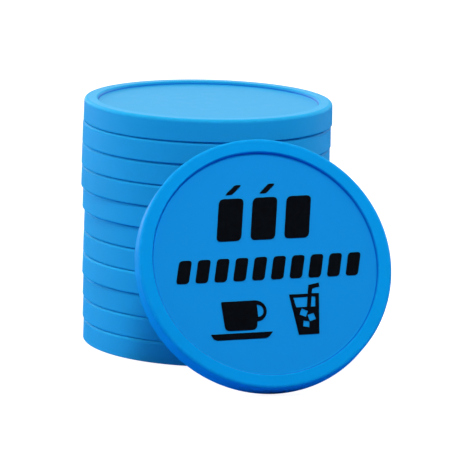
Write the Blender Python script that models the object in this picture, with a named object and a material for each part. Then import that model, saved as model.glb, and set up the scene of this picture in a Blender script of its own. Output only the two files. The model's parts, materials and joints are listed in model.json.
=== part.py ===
"""A stack of eleven plastic drink tokens, with a twelfth, printed token leaning on its front.

Every token is the same injection-moulded disc: a raised rim on both sides of a flat recessed web, with a side
wall that widens slightly towards the underside. The twelfth token carries a black print on its upper side: rows
of plain slanted marks, a cup on a saucer and a tumbler with a straw. Each patch of ink is its own thin film.

Metres, +Z up. The origin is on the table, under the middle of the whole set.
"""

import math

import bmesh
import bpy
from mathutils import Matrix, Vector
from mathutils.geometry import tessellate_polygon

MM = 0.001

# The token
TOKEN_RADIUS = 14.5 * MM
THICKNESS = 2.55 * MM
DRAFT = 0.05 * MM             # how much smaller the upper edge's radius is
UPPER_CHAMFER = 0.2 * MM
LOWER_CHAMFER = 0.1 * MM
RIM_INNER_RADIUS = 12.95 * MM
FIELD_RADIUS = 12.78 * MM
RECESS_DEPTH = 0.45 * MM
SEGMENTS = 48

# The stack
STACK_CENTRE = Vector((-3.14, 7.53, 0.0)) * MM
STACKING_GAP = 0.05 * MM
# How far each token lies out of line, x and y, from the bottom of the stack up
SHIFTS = (
    (0.30, -0.35), (0.20, -0.10), (0.15, 0.05), (0.05, 0.00), (0.10, 0.10), (0.15, 0.10),
    (-0.05, 0.05), (-0.25, 0.05), (-0.25, 0.05), (-0.20, -0.05), (-0.10, -0.10),
)

# The leaning token: it rests on the table on the edge of its underside, and on the stack behind it
LEAN = math.radians(27.5)     # back from upright
FACING = math.radians(13.1)   # how far its face is turned from -Y towards +X
FACE_CENTRE_X = 6.92 * MM     # from the stack's axis to the middle of its face
FACE_CENTRE_Y = -22.49 * MM

# The print, in millimetres on the token's face: x to the right, y up, from the middle of the face
PRINT_TURN = math.radians(1.7)
INK_GAP = 0.02 * MM
INK_THICKNESS = 0.05 * MM
CORNER_STEPS = 4
MARK_ROWS = {
    "big_mark": {
        "count": 3, "left": -5.35, "bottom": 2.75, "pitch": 3.9,
        "width": 2.85, "height": 4.9, "slant": math.radians(10.0), "corner_radius": 0.6,
    },
    "short_mark": {
        "count": 2, "left": -3.75, "bottom": 8.1, "pitch": 3.9,
        "width": 0.8, "height": 1.1, "slant": math.radians(48.0), "corner_radius": 0.25,
    },
    "small_mark": {
        "count": 10, "left": -10.45, "bottom": -1.9, "pitch": 2.16,
        "width": 1.45, "height": 2.65, "slant": math.radians(14.0), "corner_radius": 0.4,
    },
}


def clear_scene():
    for obj in list(bpy.data.objects):
        bpy.data.objects.remove(obj)


def principled(name, colour, roughness):
    material = bpy.data.materials.new(name)
    material.use_nodes = True
    shader = material.node_tree.nodes["Principled BSDF"]
    shader.inputs["Base Color"].default_value = (*colour, 1.0)
    shader.inputs["Roughness"].default_value = roughness
    shader.inputs["Metallic"].default_value = 0.0
    return material


def token_profile():
    """Half of the token's section, as (radius, height), from the underside's middle to the upper side's."""
    top = THICKNESS
    upper_radius = TOKEN_RADIUS - DRAFT
    return (
        (0.0, RECESS_DEPTH),
        (FIELD_RADIUS, RECESS_DEPTH),
        (RIM_INNER_RADIUS, 0.0),
        (TOKEN_RADIUS - LOWER_CHAMFER, 0.0),
        (TOKEN_RADIUS, LOWER_CHAMFER),
        (upper_radius, top - UPPER_CHAMFER),
        (upper_radius - UPPER_CHAMFER, top),
        (RIM_INNER_RADIUS, top),
        (FIELD_RADIUS, top - RECESS_DEPTH),
        (0.0, top - RECESS_DEPTH),
    )


def token_mesh():
    """The token's section turned once round its axis."""
    mesh = bpy.data.meshes.new("token")
    bm = bmesh.new()
    points = [bm.verts.new((radius, 0.0, height)) for radius, height in token_profile()]
    edges = [bm.edges.new(pair) for pair in zip(points, points[1:])]
    bmesh.ops.spin(
        bm,
        geom=points + edges,
        cent=(0.0, 0.0, 0.0),
        axis=(0.0, 0.0, 1.0),
        angle=2.0 * math.pi,
        steps=SEGMENTS,
        use_merge=True,
    )
    bmesh.ops.remove_doubles(bm, verts=bm.verts, dist=0.001 * MM)
    bmesh.ops.recalc_face_normals(bm, faces=bm.faces)
    bm.to_mesh(mesh)
    bm.free()
    mesh.shade_smooth()
    mesh.set_sharp_from_angle(angle=math.radians(25.0))
    return mesh


def add_object(name, mesh, material, parent):
    obj = bpy.data.objects.new(name, mesh)
    obj.data.materials.append(material)
    bpy.context.scene.collection.objects.link(obj)
    obj.parent = parent
    return obj


def add_empty(name, location, parent=None):
    empty = bpy.data.objects.new(name, None)
    bpy.context.scene.collection.objects.link(empty)
    empty.location = location
    empty.parent = parent
    return empty


def build_stack(plastic):
    stack = add_empty("stack_axis", STACK_CENTRE)
    for index, (shift_x, shift_y) in enumerate(SHIFTS):
        token = add_object(f"token_{index + 1:02d}", token_mesh(), plastic, stack)
        token.location = (shift_x * MM, shift_y * MM, index * (THICKNESS + STACKING_GAP))


def facing_matrix():
    """Turns the token's own axes to where it leans: x along the table, y up its face, z out of its face."""
    across = Vector((math.cos(FACING), math.sin(FACING), 0.0))
    outward = Vector((
        math.cos(LEAN) * math.sin(FACING),
        -math.cos(LEAN) * math.cos(FACING),
        math.sin(LEAN),
    ))
    up_the_face = outward.cross(across)
    return Matrix((across, up_the_face, outward)).transposed()


def build_leaning_token(plastic):
    """The token hangs from an empty on the line where its underside's edge meets the table."""
    turn = facing_matrix()
    foot = Vector((0.0, -TOKEN_RADIUS, LOWER_CHAMFER))
    foot_from_face_centre = turn @ (foot - Vector((0.0, 0.0, THICKNESS)))
    foot_place = STACK_CENTRE + Vector((FACE_CENTRE_X, FACE_CENTRE_Y, 0.0)) + foot_from_face_centre
    foot_place.z = 0.0
    pivot = add_empty("lean_pivot", foot_place)
    pivot.rotation_euler = turn.to_euler()
    token = add_object("leaning_token", token_mesh(), plastic, pivot)
    token.location = -foot
    return token


def rounded(corners):
    """The outline through corners, each given as (x, y, how far from it the rounding starts)."""
    outline = []
    for index, (x, y, radius) in enumerate(corners):
        corner = Vector((x, y))
        if radius == 0.0:
            outline.append(corner)
            continue
        before = Vector(corners[index - 1][:2])
        after = Vector(corners[(index + 1) % len(corners)][:2])
        start = corner + (before - corner).normalized() * radius
        end = corner + (after - corner).normalized() * radius
        for step in range(CORNER_STEPS + 1):
            t = step / CORNER_STEPS
            outline.append((1 - t) ** 2 * start + 2 * t * (1 - t) * corner + t ** 2 * end)
    return outline


def arc(centre, radius, start_degrees, end_degrees, steps):
    """Points along an arc, both of its ends included."""
    points = []
    for step in range(steps + 1):
        angle = math.radians(start_degrees + (end_degrees - start_degrees) * step / steps)
        points.append((centre[0] + radius * math.cos(angle), centre[1] + radius * math.sin(angle)))
    return points


def slanted_mark(left, bottom, width, height, slant, corner_radius):
    lean = height * math.tan(slant)
    return rounded((
        (left, bottom, corner_radius),
        (left + width, bottom, corner_radius),
        (left + width + lean, bottom + height, corner_radius),
        (left + lean, bottom + height, corner_radius),
    ))


def film_mesh(name, outline, holes=()):
    """A flat film of ink: outline, less its holes, given a thickness. Its lower side is at height 0."""
    loops = [[Vector((*point, 0.0)) for point in loop] for loop in (outline, *holes)]
    triangles = tessellate_polygon(loops)
    mesh = bpy.data.meshes.new(name)
    bm = bmesh.new()
    flat_points = [point * MM for loop in loops for point in loop]
    lower = [bm.verts.new(point) for point in flat_points]
    upper = [bm.verts.new(point + Vector((0.0, 0.0, INK_THICKNESS))) for point in flat_points]
    for triangle in triangles:
        bm.faces.new([lower[i] for i in triangle])
        bm.faces.new([upper[i] for i in reversed(triangle)])
    first = 0
    for loop in loops:
        for i in range(len(loop)):
            here = first + i
            following = first + (i + 1) % len(loop)
            bm.faces.new((lower[here], lower[following], upper[following], upper[here]))
        first += len(loop)
    bmesh.ops.recalc_face_normals(bm, faces=bm.faces)
    bm.to_mesh(mesh)
    bm.free()
    return mesh


def cup_loops():
    """A tapered cup with a ring handle on its right: its outline, and the opening in the handle."""
    left, right, top, bottom = -5.6, -1.7, -4.2, -7.55
    handle_radius = 1.2
    handle_middle = top - handle_radius
    body = ((left, top, 0.15), (left + 0.15, bottom, 0.6), (right - 0.1, bottom, 0.6))
    handle = tuple((x, y, 0.0) for x, y in arc((right, handle_middle), handle_radius, -90.0, 90.0, steps=12))
    opening = arc((right + 0.15, handle_middle), 0.7, -90.0, 90.0, steps=8)
    return rounded(body + handle), (opening,)


def saucer_loops():
    return rounded(((-7.15, -7.85, 0.1), (-6.8, -8.55, 0.45), (-0.65, -8.55, 0.45), (-0.05, -7.85, 0.1))), ()


def ice_cube(centre, half_side, turn_degrees):
    return arc(centre, half_side * math.sqrt(2.0), turn_degrees, turn_degrees + 270.0, steps=3)


def tumbler_loops():
    """A tapered tumbler with a bent straw: its outline, then the air above the drink and three ice cubes."""
    top, bottom, air_top, drink_level = -3.75, -8.4, -4.1, -5.25
    glass = ((2.25, top), (2.85, bottom), (5.2, bottom), (5.7, top))
    straw = ((4.85, top), (5.0, -3.15), (5.85, -3.0), (5.8, -2.55), (4.6, -2.75), (4.4, top))
    air_left_of_straw = ((2.7, air_top), (2.9, drink_level), (4.15, drink_level), (4.35, air_top))
    air_right_of_straw = ((4.8, air_top), (4.6, drink_level), (5.1, drink_level), (5.25, air_top))
    ice = (
        ice_cube((3.7, -5.9), 0.38, 20.0),
        ice_cube((4.55, -6.45), 0.38, 60.0),
        ice_cube((3.85, -7.2), 0.34, 35.0),
    )
    return glass + straw, (air_left_of_straw, air_right_of_straw, *ice)


def mark_row(row):
    """One outline for each of a row's slanted marks."""
    return [
        slanted_mark(
            row["left"] + index * row["pitch"],
            row["bottom"],
            row["width"],
            row["height"],
            row["slant"],
            row["corner_radius"],
        )
        for index in range(row["count"])
    ]


def build_print(ink, token):
    """Every film lies on the recessed upper face of the leaning token."""
    films = {
        "print_cup": cup_loops(),
        "print_saucer": saucer_loops(),
        "print_tumbler": tumbler_loops(),
    }
    for row_name, row in MARK_ROWS.items():
        for number, outline in enumerate(mark_row(row), start=1):
            films[f"print_{row_name}_{number:02d}"] = (outline, ())
    for name, (outline, holes) in films.items():
        film = add_object(name, film_mesh(name, outline, holes), ink, token)
        film.location = (0.0, 0.0, THICKNESS - RECESS_DEPTH + INK_GAP)
        film.rotation_euler = (0.0, 0.0, PRINT_TURN)


def build():
    clear_scene()
    plastic = principled("sky_blue_plastic", (0.02, 0.28, 0.78), 0.45)
    ink = principled("black_ink", (0.004, 0.004, 0.006), 0.5)
    build_stack(plastic)
    leaning_token = build_leaning_token(plastic)
    build_print(ink, leaning_token)


build()
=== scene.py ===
"""Looks for a stack of plastic drink tokens with one printed token leaning on it.

Each CAD token is replaced by a finely turned one with rounded edges, in the same place and of the same size.
The ink films keep their CAD shape and get an ink material. Metres, in the CAD model's frame.
"""

import json
import math

import bmesh
import bpy
from mathutils import Matrix, Vector


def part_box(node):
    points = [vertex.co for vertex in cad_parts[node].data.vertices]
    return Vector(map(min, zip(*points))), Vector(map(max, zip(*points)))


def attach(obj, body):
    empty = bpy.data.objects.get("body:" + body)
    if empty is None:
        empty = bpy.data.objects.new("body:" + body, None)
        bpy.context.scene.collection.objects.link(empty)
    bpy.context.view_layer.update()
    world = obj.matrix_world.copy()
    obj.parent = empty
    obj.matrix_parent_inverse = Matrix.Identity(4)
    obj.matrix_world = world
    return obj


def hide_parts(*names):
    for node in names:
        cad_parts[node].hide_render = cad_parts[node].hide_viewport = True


MM = 0.001

# The token's section. Its outer sizes come from the CAD model. Draft is how much narrower it is at the top.
DRAFT = 0.05 * MM
RIM_INNER_RADIUS = 12.95 * MM
FIELD_RADIUS = 12.78 * MM
RECESS_DEPTH = 0.45 * MM
UPPER_ROUNDING = 0.4 * MM
LOWER_ROUNDING = 0.1 * MM
RIM_ROUNDING = 0.12 * MM
FIELD_FILLET = 0.2 * MM
TOKEN_SEGMENTS = 288
ARC_STEPS = 6
FIELD_RINGS = 7
# How far the pale edge colour, partly worn and partly a painted highlight, runs on past the rounded edges, and
# how far inside its fillet the field's outermost ring is
WEAR_AND_HIGHLIGHT_WIDTH = 0.1 * MM
# The hinge line's height on the token's side: the top of the CAD token's lower bevel
HINGE_HEIGHT = 0.1 * MM
# How far a stack token reaches down into the gap that the CAD model leaves below it, so that the two touch
GAP_FILLED = 0.045 * MM
# From one token of the stack to the next: the turn about its axis, and the step in the wave of tints
TURN_STEP = math.radians(137.5)
TINT_STEP = 2.4
TINT_SPREAD = 0.02

# The camera, from the middle of the bottom token
CAMERA_SIDEWAYS = 1.9 * MM
CAMERA_DISTANCE = 434.7 * MM
CAMERA_HEIGHT = 101.0 * MM
CAMERA_PITCH = math.radians(11.36)
CAMERA_ROLL = math.radians(1.46)
SENSOR_WIDTH = 36.0
LENS = 302.7
CLIP_START = 0.01

# The studio
FLOOR_GAP = 0.03 * MM
SWEEP_RADIUS = 1.2
SWEEP_CURVE = 0.6
SWEEP_HEIGHT = 2.5
SWEEP_SEGMENTS = 96
SWEEP_ANGLES = [math.radians(7.5 * step) for step in range(13)]
SWEEP_GREY = (0.3, 0.3, 0.3)
SWEEP_GLOW = 0.93
REFLECTOR_RADIUS = 0.8
REFLECTOR_BLUE = (0.0, 0.28, 0.64)
LIGHT_TARGET = Vector((0.0, 0.0, 12.0 * MM))
# The backdrop's strength behind the tokens, and the Y component of a direction from which it holds
BACKDROP_STRENGTH = 0.77
BACKDROP_RAMP = 0.3
# Name, place, size and power in watts
SOFTBOXES = (
    ("left", (-0.5, -0.05, 0.15), (0.4, 0.4), 1.19),
    ("left_back", (-0.4, 0.35, 0.15), (0.7, 0.6), 2.6),
    ("right_back", (0.4, 0.35, 0.15), (0.35, 0.4), 0.56),
    ("upper_right", (0.35, -0.1, 0.4), (0.3, 0.3), 0.72),
    ("upper_front", (0.03, -0.23, 0.44), (0.12, 0.12), 1.75),
)

# The stack's plastic and the leaning token's: both are the same plastic, and the leaning token's deeper, darker
# blue is painted shade for the different light on it
STACK_BLUE = (0.015, 0.365, 0.69)
LEANING_SHADED_BLUE = (0.0015, 0.297, 0.70)
FIELD_CHANGE = (0.006, -0.035, -0.055)   # what the recessed field's colour adds to the base colour
FIELD_SHARE = 0.85                       # how much of the field's colour shows
WALL_PAINTED_SHADE = (0.5, 0.42, 0.78)            # painted shade on the wall round the field, as a share of the base colour
# Paler blue for the rounded edges: partly real wear, partly a painted highlight
WEAR_AND_HIGHLIGHT_BLUE = (0.03, 0.42, 0.8)
WEAR_AND_HIGHLIGHT_SHARE = 0.15                        # how much of it shows where an edge is most worn and has the most painted highlight
LEAST_WEAR_AND_HIGHLIGHT = 0.15                        # how worn and highlit the least worn stretches are, beside the most worn; the highlight is painted
MOTTLE_SPREAD = 0.02                     # how far the base colour varies either way
PLASTIC_IOR = 1.45
PLASTIC_GLOSS_TINT = (0.02, 0.45, 0.9)
PLASTIC_ROUGHNESS = (0.43, 0.47)
FIELD_EXTRA_ROUGHNESS = 0.06
# Gloss, as the shader's specular level
STACK_GLOSS = 0.5
LEANING_GLOSS = 0.2
DULLED_GLOSS = 0.05
INK_GLOSS = 0.2
# The printing ink
INK_BLACK = (0.0015, 0.002, 0.003)
INK_PALING = 1.8                         # how many times paler its palest patches are
INK_IOR = 1.1
INK_ROUGHNESS = (0.5, 0.6)
# How large the uneven patches are, and between which values of the noise one passes into the next
MOTTLE_SIZE = 6.0 * MM
ROUGHNESS_PATCH_SIZE = 1.2 * MM
WEAR_AND_HIGHLIGHT_SPOT_SIZE = 0.5 * MM
INK_PATCH_SIZE = 0.6 * MM
PATCH_LIMITS = (0.3, 0.7)
WEAR_AND_HIGHLIGHT_SPOT_LIMITS = (0.45, 0.62)
INK_PATCH_LIMITS = (0.35, 0.65)
# How large, high and strong the bumps are
WAVE_SIZE = 2.5 * MM
WAVE_HEIGHT = 0.02 * MM
WAVE_STRENGTH = 0.12
MOULD_TEXTURE_SIZE = 0.11 * MM
MOULD_TEXTURE_STRENGTH = 0.25
INK_TEXTURE_SIZE = 0.15 * MM
INK_TEXTURE_STRENGTH = 0.3
TEXTURE_HEIGHT = 0.01 * MM


# ----------------------------------------------------------------------------------------------------
# Material nodes


class NodeGraph:
    """A material's node tree, with short calls to add nodes and join them."""

    def __init__(self, name):
        self.material = bpy.data.materials.new(name)
        self.material.use_nodes = True
        self.tree = self.material.node_tree
        self.shader = self.tree.nodes["Principled BSDF"]
        self.coordinates = self.add("ShaderNodeTexCoord").outputs["Object"]

    def add(self, kind, **settings):
        node = self.tree.nodes.new(kind)
        for key, value in settings.items():
            setattr(node, key, value)
        return node

    def join(self, source, target):
        self.tree.links.new(source, target)

    def noise(self, feature_size, detail=3.0, roughness=0.55):
        """A noise from 0 to 1 whose lumps are about feature_size across."""
        node = self.add("ShaderNodeTexNoise")
        node.inputs["Scale"].default_value = 1.0 / feature_size
        node.inputs["Detail"].default_value = detail
        node.inputs["Roughness"].default_value = roughness
        self.join(self.coordinates, node.inputs["Vector"])
        return node.outputs["Fac"]

    def attribute(self, name):
        return self.add("ShaderNodeAttribute", attribute_name=name).outputs["Fac"]

    def remap(self, source, from_low, from_high, to_low, to_high):
        node = self.add("ShaderNodeMapRange")
        self.join(source, node.inputs["Value"])
        for key, value in zip(
            ("From Min", "From Max", "To Min", "To Max"), (from_low, from_high, to_low, to_high)
        ):
            node.inputs[key].default_value = value
        return node.outputs["Result"]

    def calculate(self, operation, first, second):
        node = self.add("ShaderNodeMath", operation=operation)
        for socket, value in zip(node.inputs, (first, second)):
            if isinstance(value, float):
                socket.default_value = value
            else:
                self.join(value, socket)
        return node.outputs["Value"]

    def mix_colour(self, factor, first, second):
        node = self.add("ShaderNodeMix", data_type="RGBA")
        self.join(factor, node.inputs["Factor"])
        for socket, value in ((node.inputs["A"], first), (node.inputs["B"], second)):
            if isinstance(value, tuple):
                socket.default_value = (*value, 1.0)
            else:
                self.join(value, socket)
        return node.outputs["Result"]

    def bump(self, height, distance, strength, normal=None):
        node = self.add("ShaderNodeBump")
        node.inputs["Distance"].default_value = distance
        node.inputs["Strength"].default_value = strength
        self.join(height, node.inputs["Height"])
        if normal is not None:
            self.join(normal, node.inputs["Normal"])
        return node.outputs["Normal"]


def scaled(colour, factor):
    return tuple(channel * factor for channel in colour)


def token_plastic(name, base, gloss):
    """Satin moulded plastic: slightly uneven colour, a fine mould texture, painted shade on the wall round the
    field, pale edges that are partly worn and partly a painted highlight, dull corners.
    """
    graph = NodeGraph(name)
    field_colour = tuple(channel + change for channel, change in zip(base, FIELD_CHANGE))
    mottle = graph.remap(graph.noise(MOTTLE_SIZE), *PATCH_LIMITS, 0.0, 1.0)
    mottled = graph.mix_colour(mottle, scaled(base, 1.0 - MOTTLE_SPREAD), scaled(base, 1.0 + MOTTLE_SPREAD))
    field = graph.attribute("field")
    flat_colour = graph.mix_colour(graph.calculate("MULTIPLY", field, FIELD_SHARE), mottled, field_colour)
    # Painted shade: the wall round the recessed field is darkened and deepened in blue
    painted_wall_shade = tuple(channel * factor for channel, factor in zip(base, WALL_PAINTED_SHADE))
    with_wall_shade = graph.mix_colour(graph.attribute("wall"), flat_colour, painted_wall_shade)
    # Painted highlight and wear: the rounded edges are mixed towards the paler blue, in spots
    wear_and_highlight_spots = graph.remap(graph.noise(WEAR_AND_HIGHLIGHT_SPOT_SIZE, detail=5.0), *WEAR_AND_HIGHLIGHT_SPOT_LIMITS, LEAST_WEAR_AND_HIGHLIGHT, 1.0)
    edge_wear_and_highlight = graph.calculate("MULTIPLY", graph.attribute("edge"), wear_and_highlight_spots)
    worn_and_highlit = graph.mix_colour(graph.calculate("MULTIPLY", edge_wear_and_highlight, WEAR_AND_HIGHLIGHT_SHARE), with_wall_shade, WEAR_AND_HIGHLIGHT_BLUE)
    graph.join(worn_and_highlit, graph.shader.inputs["Base Color"])

    roughness_patches = graph.noise(ROUGHNESS_PATCH_SIZE, detail=4.0)
    smooth_roughness = graph.remap(roughness_patches, *PATCH_LIMITS, *PLASTIC_ROUGHNESS)
    extra_roughness = graph.calculate("MULTIPLY", field, FIELD_EXTRA_ROUGHNESS)
    roughness = graph.calculate("ADD", smooth_roughness, extra_roughness)
    graph.join(roughness, graph.shader.inputs["Roughness"])
    dulled = graph.calculate("MAXIMUM", graph.attribute("edge"), graph.attribute("wall"))
    graph.join(graph.remap(dulled, 0.0, 1.0, gloss, DULLED_GLOSS), graph.shader.inputs["Specular IOR Level"])

    waviness = graph.bump(graph.noise(WAVE_SIZE, detail=1.0), WAVE_HEIGHT, WAVE_STRENGTH)
    grain = graph.noise(MOULD_TEXTURE_SIZE, detail=2.0)
    mould_texture = graph.bump(grain, TEXTURE_HEIGHT, MOULD_TEXTURE_STRENGTH, waviness)
    graph.join(mould_texture, graph.shader.inputs["Normal"])
    graph.shader.inputs["IOR"].default_value = PLASTIC_IOR
    graph.shader.inputs["Specular Tint"].default_value = (*PLASTIC_GLOSS_TINT, 1.0)
    return graph.material


def printing_ink():
    """Pad-printed ink: deep black, a little patchy in its depth and roughness."""
    graph = NodeGraph("printing_ink")
    patches = graph.remap(graph.noise(INK_PATCH_SIZE, detail=4.0), *INK_PATCH_LIMITS, 0.0, 1.0)
    ink_colour = graph.mix_colour(patches, INK_BLACK, scaled(INK_BLACK, INK_PALING))
    graph.join(ink_colour, graph.shader.inputs["Base Color"])
    graph.join(graph.remap(patches, 0.0, 1.0, *INK_ROUGHNESS), graph.shader.inputs["Roughness"])
    texture = graph.bump(graph.noise(INK_TEXTURE_SIZE, detail=3.0), TEXTURE_HEIGHT, INK_TEXTURE_STRENGTH)
    graph.join(texture, graph.shader.inputs["Normal"])
    graph.shader.inputs["IOR"].default_value = INK_IOR
    graph.shader.inputs["Specular IOR Level"].default_value = INK_GLOSS
    return graph.material


def paper(name, colour, glow):
    """Matt paper. The glow keeps the sweep white in the picture, as an overexposed backdrop is."""
    graph = NodeGraph(name)
    graph.shader.inputs["Base Color"].default_value = (*colour, 1.0)
    graph.shader.inputs["Roughness"].default_value = 1.0
    graph.shader.inputs["Specular IOR Level"].default_value = 0.0
    graph.shader.inputs["Emission Color"].default_value = (1.0, 1.0, 1.0, 1.0)
    graph.shader.inputs["Emission Strength"].default_value = glow
    return graph.material


# ----------------------------------------------------------------------------------------------------
# The turned token


def corner_arc(before, corner, after, rounding, steps=ARC_STEPS):
    """Points that round corner, between the lines to before and after, by a circle of radius rounding."""
    to_before = (before - corner).normalized()
    to_after = (after - corner).normalized()
    half_angle = to_before.angle(to_after) / 2.0
    reach = rounding / math.tan(half_angle)
    centre = corner + (to_before + to_after).normalized() * (rounding / math.sin(half_angle))
    first = (corner + to_before * reach - centre).normalized()
    last = (corner + to_after * reach - centre).normalized()
    return [centre + rounding * first.slerp(last, step / steps) for step in range(steps + 1)]


def token_section(radius, thickness):
    """The section's rounded outline from the underside's middle to the upper side's, as (point, kind).

    The kinds are the flat field of the recess, the wall round it, which gets painted shade, and the edges,
    which are paled partly by real wear and partly by a painted highlight.
    """
    upper_radius = radius - DRAFT
    corners = (
        (Vector((0.0, RECESS_DEPTH)), 0.0, "field"),
        (Vector((FIELD_RADIUS, RECESS_DEPTH)), FIELD_FILLET, "wall"),
        (Vector((RIM_INNER_RADIUS, 0.0)), RIM_ROUNDING, "edge"),
        (Vector((radius, 0.0)), LOWER_ROUNDING, "edge"),
        (Vector((upper_radius, thickness)), UPPER_ROUNDING, "edge"),
        (Vector((RIM_INNER_RADIUS, thickness)), RIM_ROUNDING, "edge"),
        (Vector((FIELD_RADIUS, thickness - RECESS_DEPTH)), FIELD_FILLET, "wall"),
        (Vector((0.0, thickness - RECESS_DEPTH)), 0.0, "field"),
    )
    section = []
    for index, (corner, rounding, kind) in enumerate(corners):
        if rounding == 0.0:
            section.append((corner, kind))
            continue
        before = corners[index - 1][0]
        after = corners[index + 1][0]
        for point in corner_arc(before, corner, after, rounding):
            section.append((point, "field" if point.x < FIELD_RADIUS else kind))
    return section


def with_wear_and_highlight_limits(section):
    """Keeps the pale edge colour, partly worn and partly a painted highlight, near the edges: a short way in
    from each end of a longer straight is a ring without it.
    """
    result = [section[0]]
    for (start, start_kind), (end, end_kind) in zip(section, section[1:]):
        length = (end - start).length
        if length > 3.0 * WEAR_AND_HIGHLIGHT_WIDTH and "edge" in (start_kind, end_kind):
            share = WEAR_AND_HIGHLIGHT_WIDTH / length
            result += [(start.lerp(end, share), ""), (end.lerp(start, share), "")]
        result.append((end, end_kind))
    return result


def with_field_rings(section):
    """Adds rings to the flat field on both sides, the outermost of them a short way inside the fillet."""
    first, second = section[0][0], section[1][0]
    last, before_last = section[-1][0], section[-2][0]
    outermost = 1.0 - WEAR_AND_HIGHLIGHT_WIDTH / (second - first).length
    shares = [outermost * ring / FIELD_RINGS for ring in range(1, FIELD_RINGS + 1)]
    lower = [(first.lerp(second, share), "field") for share in shares]
    upper = [(last.lerp(before_last, share), "field") for share in reversed(shares)]
    return section[:1] + lower + section[1:-1] + upper + section[-1:]


def turned_mesh(name, section, segments):
    """The section turned round the Z axis, with an attribute for each kind of point in it."""
    mesh = bpy.data.meshes.new(name)
    bm = bmesh.new()
    rings = []
    for point, kind in section:
        if point.x == 0.0:
            rings.append([bm.verts.new((0.0, 0.0, point.y))])
            continue
        angles = (2.0 * math.pi * i / segments for i in range(segments))
        rings.append([bm.verts.new((point.x * math.cos(a), point.x * math.sin(a), point.y)) for a in angles])
    for lower, upper in zip(rings, rings[1:]):
        for i in range(segments):
            j = (i + 1) % segments
            below = (lower[i % len(lower)], lower[j % len(lower)])
            above = (upper[j % len(upper)], upper[i % len(upper)])
            bm.faces.new(tuple(dict.fromkeys(below + above)))
    bmesh.ops.recalc_face_normals(bm, faces=bm.faces)
    bm.to_mesh(mesh)
    bm.free()
    mesh.shade_smooth()
    for wanted in sorted({kind for point, kind in section if kind}):
        values = []
        for (point, kind), ring in zip(section, rings):
            values += [1.0 if kind == wanted else 0.0] * len(ring)
        mesh.attributes.new(wanted, "FLOAT", "POINT").data.foreach_set("value", values)
    return mesh


# ----------------------------------------------------------------------------------------------------
# Placing the tokens


def node_size_and_place(node):
    low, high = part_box(node)
    middle = (low + high) / 2.0
    return (high.x - low.x) / 2.0, high.z - low.z, Vector((middle.x, middle.y, low.z))


def stack_token_place(node, turn):
    """Where a token of the stack stands; each is turned about its own axis as it happened to be put down."""
    place = node_size_and_place(node)[2]
    return Matrix.Translation(place) @ Matrix.Rotation(turn, 4, "Z")


def leaning_token_place(radius):
    """The leaning token stands on the hinge line of its own joint, leaning back by that joint's range."""
    joint = next(j for j in frame["joints"] if j["child"] == "leaning_token")
    lean = math.radians(max(joint["range_deg"]))
    across = Vector(joint["axis"]).normalized()
    back = Vector((0.0, 0.0, 1.0)).cross(across)
    up_the_face = math.cos(lean) * Vector((0.0, 0.0, 1.0)) + math.sin(lean) * back
    outward = across.cross(up_the_face)
    turn = Matrix((across, up_the_face, outward)).transposed().to_4x4()
    foot = Vector((0.0, -radius, HINGE_HEIGHT))
    return Matrix.Translation(Vector(joint["pos_m"])) @ turn @ Matrix.Translation(-foot)


def add_token(node, material, place, extra_below=0.0):
    radius, thickness, _ = node_size_and_place("token_01")
    section = with_wear_and_highlight_limits(with_field_rings(token_section(radius, thickness + extra_below)))
    mesh = turned_mesh(f"{node}_moulding", section, TOKEN_SEGMENTS)
    mesh.transform(place @ Matrix.Translation((0.0, 0.0, -extra_below)))
    mesh.materials.append(material)
    obj = bpy.data.objects.new(f"{node}_moulding", mesh)
    bpy.context.scene.collection.objects.link(obj)
    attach(obj, node)
    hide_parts(node)


def add_tokens():
    stack_nodes = sorted(node for node in frame["nodes"] if node.startswith("token_"))
    for index, node in enumerate(stack_nodes):
        tint = 1.0 + TINT_SPREAD * math.sin(TINT_STEP * index)
        plastic = token_plastic(f"{node}_plastic", scaled(STACK_BLUE, tint), STACK_GLOSS)
        extra_below = GAP_FILLED if index > 0 else 0.0
        add_token(node, plastic, stack_token_place(node, TURN_STEP * index), extra_below)
    radius = node_size_and_place("token_01")[0]
    # The same plastic as the stack, with painted shade: a deeper, darker blue for the different light on this
    # token
    plastic = token_plastic("leaning_token_plastic", LEANING_SHADED_BLUE, LEANING_GLOSS)
    add_token("leaning_token", plastic, leaning_token_place(radius))


def finish_print():
    ink = printing_ink()
    for name, node in frame["nodes"].items():
        if name.startswith("print_"):
            node.material_slots[0].material = ink


# ----------------------------------------------------------------------------------------------------
# Floor, light and camera


def add_studio_sweep():
    """A white paper floor that curves up into a wall. It is seen, but throws no light on the tokens."""
    section = [(0.0, 0.0)]
    for angle in SWEEP_ANGLES:
        section.append((SWEEP_RADIUS + SWEEP_CURVE * math.sin(angle), SWEEP_CURVE * (1.0 - math.cos(angle))))
    section.append((SWEEP_RADIUS + SWEEP_CURVE, SWEEP_HEIGHT))
    mesh = turned_mesh("studio_sweep", [(Vector(point), "") for point in section], SWEEP_SEGMENTS)
    mesh.transform(Matrix.Translation((0.0, 0.0, -FLOOR_GAP)))
    mesh.materials.append(paper("sweep_paper", SWEEP_GREY, SWEEP_GLOW))
    sweep = bpy.data.objects.new("studio_sweep", mesh)
    bpy.context.scene.collection.objects.link(sweep)
    sweep.visible_diffuse = False
    sweep.visible_glossy = False
    sweep.visible_shadow = False


def add_reflector():
    """A blue card under the floor, unseen by the camera: it throws up the light that the tokens spread."""
    section = [(Vector((0.0, 0.0)), ""), (Vector((REFLECTOR_RADIUS, 0.0)), "")]
    mesh = turned_mesh("reflector", section, SWEEP_SEGMENTS)
    mesh.transform(Matrix.Translation((0.0, 0.0, -2.0 * FLOOR_GAP)))
    mesh.materials.append(paper("reflector_card", REFLECTOR_BLUE, 0.0))
    card = bpy.data.objects.new("reflector", mesh)
    bpy.context.scene.collection.objects.link(card)
    card.visible_camera = False


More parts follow.
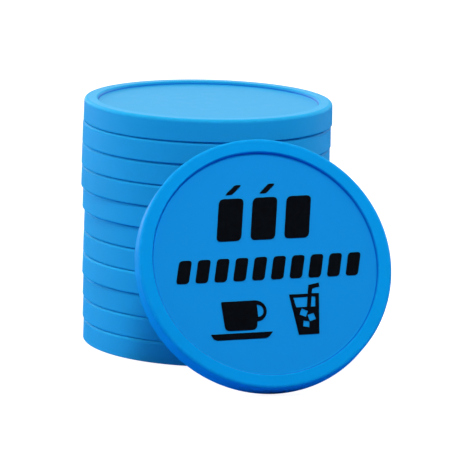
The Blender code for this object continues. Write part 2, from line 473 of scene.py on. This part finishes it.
def add_area_light(name, place, size, power):
    """A softbox that faces the tokens."""
    light = bpy.data.lights.new(name, "AREA")
    light.shape = "RECTANGLE"
    light.size, light.size_y = size
    light.energy = power
    obj = bpy.data.objects.new(name, light)
    bpy.context.scene.collection.objects.link(obj)
    obj.location = place
    obj.rotation_euler = (LIGHT_TARGET - Vector(place)).to_track_quat("-Z", "Y").to_euler()
    obj.visible_camera = False


def add_surroundings():
    """Dim in front of the tokens and bright behind them, as between a dark camera side and a white wall."""
    world = bpy.data.worlds.new("studio")
    bpy.context.scene.world = world
    world.use_nodes = True
    tree = world.node_tree
    direction = tree.nodes.new("ShaderNodeTexCoord").outputs["Generated"]
    split = tree.nodes.new("ShaderNodeSeparateXYZ")
    tree.links.new(direction, split.inputs["Vector"])
    strength = tree.nodes.new("ShaderNodeMapRange")
    tree.links.new(split.outputs["Y"], strength.inputs["Value"])
    strength.inputs["From Min"].default_value = 0.0
    strength.inputs["From Max"].default_value = BACKDROP_RAMP
    strength.inputs["To Min"].default_value = 0.0
    strength.inputs["To Max"].default_value = BACKDROP_STRENGTH
    tree.links.new(strength.outputs["Result"], tree.nodes["Background"].inputs["Strength"])
    tree.nodes["Background"].inputs["Color"].default_value = (1.0, 1.0, 1.0, 1.0)


def add_lights():
    add_surroundings()
    for name, place, size, power in SOFTBOXES:
        add_area_light(name, place, size, power)


def add_camera():
    camera = bpy.data.cameras.new("camera")
    camera.sensor_width = SENSOR_WIDTH
    camera.lens = LENS
    camera.clip_start = CLIP_START
    obj = bpy.data.objects.new("camera", camera)
    bpy.context.scene.collection.objects.link(obj)
    middle = node_size_and_place("token_01")[2]
    obj.location = middle + Vector((CAMERA_SIDEWAYS, -CAMERA_DISTANCE, CAMERA_HEIGHT))
    pitched = Matrix.Rotation(math.pi / 2.0 - CAMERA_PITCH, 4, "X")
    obj.rotation_euler = (pitched @ Matrix.Rotation(CAMERA_ROLL, 4, "Z")).to_euler()
    bpy.context.scene.camera = obj


def plain_colours():
    bpy.context.scene.view_settings.view_transform = "Standard"
    bpy.context.scene.view_settings.look = "None"


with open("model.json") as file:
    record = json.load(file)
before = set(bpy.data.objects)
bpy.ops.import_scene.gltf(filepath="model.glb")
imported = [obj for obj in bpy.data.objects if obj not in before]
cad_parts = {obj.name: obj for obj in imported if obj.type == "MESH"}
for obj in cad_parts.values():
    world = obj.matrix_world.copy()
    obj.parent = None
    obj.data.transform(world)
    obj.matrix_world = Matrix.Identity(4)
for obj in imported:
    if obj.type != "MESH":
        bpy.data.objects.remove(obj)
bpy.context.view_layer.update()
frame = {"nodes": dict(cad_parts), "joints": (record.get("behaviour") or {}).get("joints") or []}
add_tokens()
finish_print()
add_studio_sweep()
add_reflector()
add_lights()
add_camera()
plain_colours()
